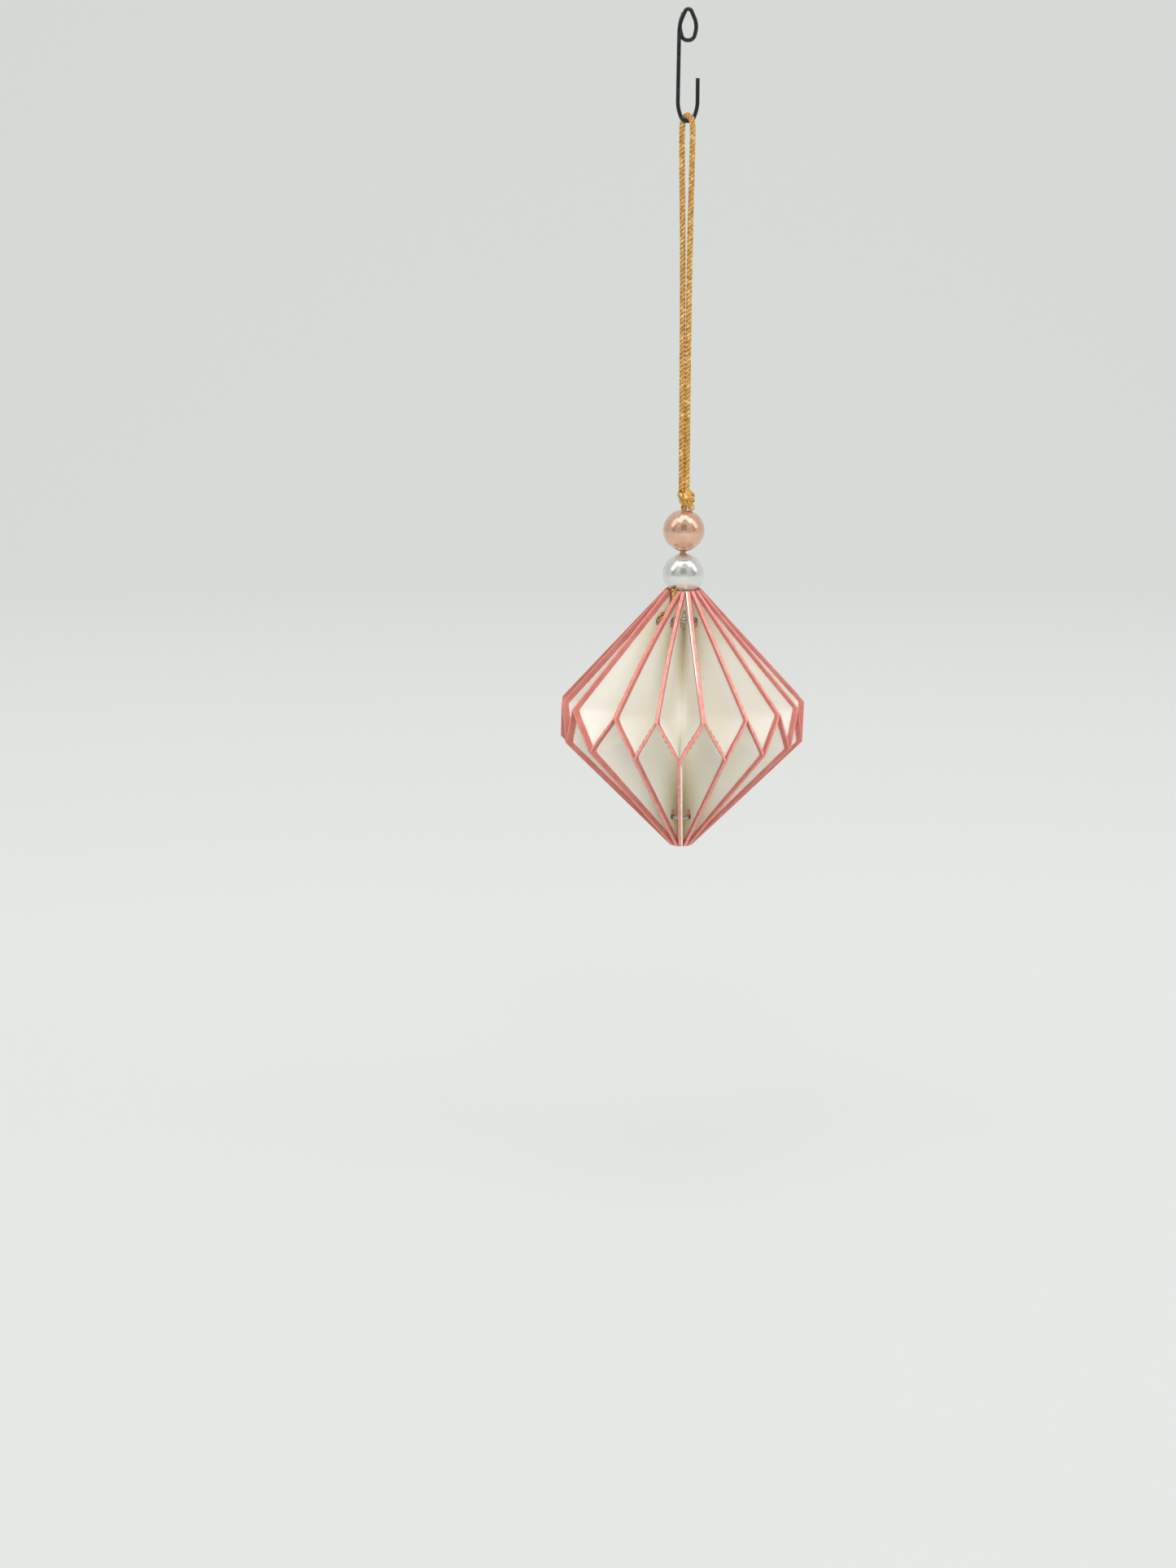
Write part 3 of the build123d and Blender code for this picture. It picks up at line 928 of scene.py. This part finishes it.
def bead_profile():
    """Points (radius, height) of the bead's outside, its rounded lips and its bore."""
    lip_distance = BEAD_RADIUS - BORE_LIP
    lip_angle = asin((BORE_RADIUS + BORE_LIP) / lip_distance)
    lip_height = lip_distance * cos(lip_angle)
    profile = []
    for row in range(BEAD_ROWS + 1):
        turn = lip_angle + (pi - 2 * lip_angle) * row / BEAD_ROWS
        profile.append((BEAD_RADIUS * sin(turn), BEAD_RADIUS * cos(turn)))
    top_lip = []
    for step in range(1, LIP_ROWS + 1):
        turn = lip_angle - (lip_angle + pi / 2) * step / LIP_ROWS
        top_lip.append((BORE_RADIUS + BORE_LIP + BORE_LIP * sin(turn),
                        lip_height + BORE_LIP * cos(turn)))
    bottom_lip = [(radius, -height) for radius, height in top_lip]
    return list(reversed(top_lip)) + profile + bottom_lip


def bead(name, height, node):
    """A turned bead that stands for its CAD node."""
    mesh = bmesh.new()
    profile = bead_profile()
    rings = []
    for radius, rise in profile:
        rings.append([
            mesh.verts.new(Vector((cos(turn) * radius, sin(turn) * radius, height + rise)) * MM)
            for turn in (2 * pi * number / BEAD_SEGMENTS for number in range(BEAD_SEGMENTS))
        ])
    for index, ring in enumerate(rings):
        after = rings[(index + 1) % len(rings)]
        for number in range(BEAD_SEGMENTS):
            other = (number + 1) % BEAD_SEGMENTS
            mesh.faces.new((ring[number], ring[other], after[other], after[number])).smooth = True
    made = piece_of(mesh, name)
    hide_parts(node)
    return made


white_bead = bead("white_bead", WHITE_HEIGHT, "white_pearl_bead")
peach_bead = bead("peach_bead", PEACH_HEIGHT, "peach_pearl_bead")
print("bead faces:", len(white_bead.data.polygons))

# %% [markdown]
# ## Pearl lacquer
# The lacquer is full of fine flakes, so it is partly a metal, and a hard clear coat lies over it.
# The coat mirrors the lamps sharply, and the flakes below spread a softer second highlight. A faint
# swirl between two near tones keeps the bead from looking like plain plastic.

# %% Lacquer on the beads
PEARL_METAL = 0.65
WHITE_PEARL_TINTS = tint(214, 215, 210), tint(226, 226, 221)
PEACH_PEARL_TINTS = tint(214, 164, 134), tint(226, 182, 154)
LACQUER_RELIEF = 0.03 * MM


def pearl(name, deep, light):
    """Pearl lacquer: fine flakes under a hard clear coat."""
    lacquer = Finish(
        name, 0.2, metallic=PEARL_METAL, coat_weight=1.0, coat_roughness=0.03, coat_ior=1.8,
    )
    swirl = lacquer.ramp(lacquer.noise(260, 3), *SOFT_NOISE)
    lacquer.colour(lacquer.mix(swirl, deep, light))
    lacquer.rough(lacquer.ramp(lacquer.noise(90, 2), *FULL_NOISE, 0.12, 0.17))
    lacquer.bump(lacquer.noise(1500, 2), 0.03, LACQUER_RELIEF)
    return lacquer.material


white_bead.data.materials.append(pearl("white_pearl", *WHITE_PEARL_TINTS))
peach_bead.data.materials.append(pearl("peach_pearl", *PEACH_PEARL_TINTS))
print("lacquers:", white_bead.data.materials[0].name, peach_bead.data.materials[0].name)

# %% [markdown]
# ## Wire
# The rings are bright drawn steel, and the hook is thinner wire with a black coat. Their CAD shapes
# are right as they are, so they only get a finish: long draw marks on the steel, and an uneven,
# slightly glossy skin on the black coat that is thin enough to show some grey.

# %% Wire finishes
DULL_STEEL, BRIGHT_STEEL = tint(176, 172, 164), tint(222, 219, 212)
BLACK_COAT, THIN_COAT = tint(14, 14, 18), tint(44, 45, 50)
STEEL_RELIEF, COAT_RELIEF = 0.03 * MM, 0.04 * MM

steel = Finish("bright_steel", 0.25, metallic=1.0)
draw_marks = steel.noise(700, 3, (0.3, 0.3, 3))
steel.colour(steel.mix(draw_marks, DULL_STEEL, BRIGHT_STEEL))
steel.rough(steel.ramp(draw_marks, *FULL_NOISE, 0.18, 0.36))
steel.bump(draw_marks, 0.2, STEEL_RELIEF)

black_coat = Finish("black_coat", 0.4, coat_weight=0.3, coat_roughness=0.25)
thin_spots = black_coat.ramp(black_coat.noise(520, 4), 0.55, 0.75)
black_coat.colour(black_coat.mix(thin_spots, BLACK_COAT, THIN_COAT))
black_coat.rough(black_coat.ramp(black_coat.noise(900, 3), *FULL_NOISE, 0.3, 0.5))
black_coat.bump(black_coat.noise(1400, 3), 0.25, COAT_RELIEF)

for name, finish in (("top_ring", steel), ("bottom_ring", steel), ("wire_hook", black_coat)):
    data = nodes[name].data
    data.materials.clear()
    data.materials.append(finish.material)
    for polygon in data.polygons:
        polygon.use_smooth = True
    print(name, "is finished as", finish.material.name)

# %% [markdown]
# ## A paper sweep
# The ornament hangs in front of a seamless paper sweep. The sweep is one sheet that runs from the
# floor up behind the object in a wide curve, so no corner shows.

# %% Sweep
FLOOR_HEIGHT = -0.3315
SWEEP_HALF_WIDTH, SWEEP_FRONT, SWEEP_BEND, SWEEP_TOP = 2.2, -1.6, 0.9, 1.8
SWEEP_BEND_START = 0.5
BEND_STEPS = 32

mesh = bmesh.new()
profile = [(SWEEP_FRONT, FLOOR_HEIGHT), (0.0, FLOOR_HEIGHT)]
for step in range(BEND_STEPS + 1):
    turn = pi / 2 * step / BEND_STEPS
    depth = SWEEP_BEND_START + SWEEP_BEND * sin(turn)
    profile.append((depth, FLOOR_HEIGHT + SWEEP_BEND * (1 - cos(turn))))
profile.append((SWEEP_BEND_START + SWEEP_BEND, SWEEP_TOP))
lines = [[mesh.verts.new((side * SWEEP_HALF_WIDTH, y, z)) for side in (-1, 1)] for y, z in profile]
for (left, right), (next_left, next_right) in zip(lines, lines[1:]):
    mesh.faces.new((left, right, next_right, next_left)).smooth = True
sweep_data = bpy.data.meshes.new("sweep")
mesh.to_mesh(sweep_data)
mesh.free()
sweep = bpy.data.objects.new("sweep", sweep_data)
bpy.context.scene.collection.objects.link(sweep)
print("sweep faces:", len(sweep_data.polygons))

# %% [markdown]
# ## Tones of the sweep
# The paper lies in an even, pale grey light that is brighter than what the lamps near the object
# give it. So it glows a little where it is seen, and is darker where the object only takes light
# from it. Otherwise it would light the cells from below. Its tone changes softly with depth on the
# floor, and again where the floor turns up into the wall.

# %% Paper of the sweep
SWEEP_GLOW = 0.7
WALL_TONE_HEIGHT = -0.275
NEAR_TONE_DEPTH, FAR_TONE_DEPTH = -0.3, 0.25
NEAR_FLOOR, FAR_FLOOR, WALL = tint(212, 214, 211), tint(226, 228, 225), tint(217, 220, 216)
UNSEEN_FLOOR, UNSEEN_WALL = tint(140, 141, 139), tint(132, 134, 132)

paper_sweep = Finish("paper_sweep", 0.9)
axes = paper_sweep.axes(paper_sweep.node("NewGeometry").outputs["Position"])
height_share = paper_sweep.ramp(axes["Z"], FLOOR_HEIGHT, WALL_TONE_HEIGHT)
depth_share = paper_sweep.ramp(axes["Y"], NEAR_TONE_DEPTH, FAR_TONE_DEPTH)
floor_tone = paper_sweep.mix(depth_share, NEAR_FLOOR, FAR_FLOOR)
paper_tone = paper_sweep.mix(height_share, floor_tone, WALL)
seen = paper_sweep.node("LightPath")
seen_share = seen.outputs["Is Camera Ray"]
for ray in ("Is Glossy Ray", "Is Transmission Ray"):
    seen_share = paper_sweep.sum("MAXIMUM", seen_share, seen.outputs[ray])
shade_tone = paper_sweep.mix(height_share, UNSEEN_FLOOR, UNSEEN_WALL)
paper_sweep.colour(paper_sweep.mix(seen_share, paper_tone, shade_tone))
paper_sweep.glow(paper_tone, paper_sweep.sum("MULTIPLY", seen_share, SWEEP_GLOW))
sweep_data.materials.append(paper_sweep.material)
print("sweep glow:", SWEEP_GLOW)

# %% [markdown]
# ## Lamps
# The beads mirror a row of bright lamps overhead, from left to right, and four soft lamps on an arc
# make them. Four wide, weak lamps at the sides, in front and high up open the cells that face the
# camera. They are hidden from reflections, so that they leave no marks on the beads. The world
# fills what is left, as white walls would.

# %% Lamps and world
LAMP_ARC_RADIUS, LAMP_ARC_DEPTH, LAMP_ARC_HEIGHT = 0.95, -0.22, -0.145
LAMP_DEPTH = 0.85
TOP_LAMPS = ((-46, 0.4, 1.0), (-10, 0.4, 1.7), (20, 0.4, 1.5), (52, 0.4, 1.0))
FILL_LAMPS = (
    ("left_lamp", (-0.75, -0.95, 0.0), 0.7),
    ("right_lamp", (0.75, -0.95, 0.0), 0.7),
    ("front_lamp", (0.1, -1.2, 0.05), 3.8),
    ("high_lamp", (0.05, -0.8, 0.55), 2.7),
)
FILL_SIZE = 0.55
TOP_COLOUR, FILL_COLOUR = (1.0, 1.0, 0.99), (1.0, 0.995, 0.98)
WORLD_COLOUR, WORLD_STRENGTH = (0.98, 0.99, 1.0, 1), 0.56


def soft_lamp(name, place, width, height, watts, colour):
    """A soft lamp that shines from a place towards the middle of the ornament."""
    data = bpy.data.lights.new(name, "AREA")
    data.shape = "RECTANGLE"
    data.size, data.size_y, data.energy, data.color = width, height, watts, colour
    lamp = bpy.data.objects.new(name, data)
    lamp.location = place
    aim = Vector((0, 0, MIDDLE * MM))
    lamp.rotation_euler = (Vector(place) - aim).to_track_quat("Z", "Y").to_euler()
    bpy.context.scene.collection.objects.link(lamp)
    return lamp


for number, (degrees, width, watts) in enumerate(TOP_LAMPS, start=1):
    across = LAMP_ARC_RADIUS * sin(radians(degrees))
    height = LAMP_ARC_HEIGHT + LAMP_ARC_RADIUS * cos(radians(degrees))
    place = (across, LAMP_ARC_DEPTH, height)
    soft_lamp(f"top_lamp_{number}", place, width, LAMP_DEPTH, watts, TOP_COLOUR)
for name, place, watts in FILL_LAMPS:
    lamp = soft_lamp(name, place, FILL_SIZE, FILL_SIZE, watts, FILL_COLOUR)
    lamp.visible_glossy = False

world = bpy.data.worlds.new("studio")
world.use_nodes = True
bpy.context.scene.world = world
sky = world.node_tree.nodes["Background"]
sky.inputs["Color"].default_value = WORLD_COLOUR
sky.inputs["Strength"].default_value = WORLD_STRENGTH
print("lamps:", len(TOP_LAMPS) + len(FILL_LAMPS))

# %% [markdown]
# ## What the beads mirror
# A glossy bead shows the whole room, and an empty one would leave it flat. Four upright boards
# stand for pale walls in front and at the sides and for a dark shape between them. They only show
# in reflections, so they change neither the light on the cards nor the background.

# %% Boards in reflections
PALE_WALL, SIDE_WALL, DARK_SHAPE = (214, 212, 208), (146, 143, 138), (38, 36, 34)


def reflected_board(name, low, high, depth, tone):
    """An upright board behind the camera that only shows in reflections."""
    mesh = bmesh.new()
    corners = ((low[0], low[1]), (high[0], low[1]), (high[0], high[1]), (low[0], high[1]))
    mesh.faces.new([mesh.verts.new((x, depth, z)) for x, z in corners])
    data = bpy.data.meshes.new(name)
    mesh.to_mesh(data)
    mesh.free()
    board = bpy.data.objects.new(name, data)
    bpy.context.scene.collection.objects.link(board)
    paint = Finish(name, 0.9)
    paint.shader.inputs["Base Color"].default_value = tint(*tone)
    data.materials.append(paint.material)
    board.visible_camera = board.visible_diffuse = board.visible_shadow = False
    return board


boards = (
    reflected_board("room_wall", (-1.5, -0.33), (1.5, 0.55), -1.5, PALE_WALL),
    reflected_board("left_wall", (-2.0, -0.2), (-0.75, 0.5), -0.7, SIDE_WALL),
    reflected_board("right_wall", (0.75, -0.2), (2.0, 0.5), -0.7, SIDE_WALL),
    reflected_board("dark_panel", (-0.36, -0.04), (0.3, 0.7), -1.0, DARK_SHAPE),
)
print("boards:", [board.name for board in boards])
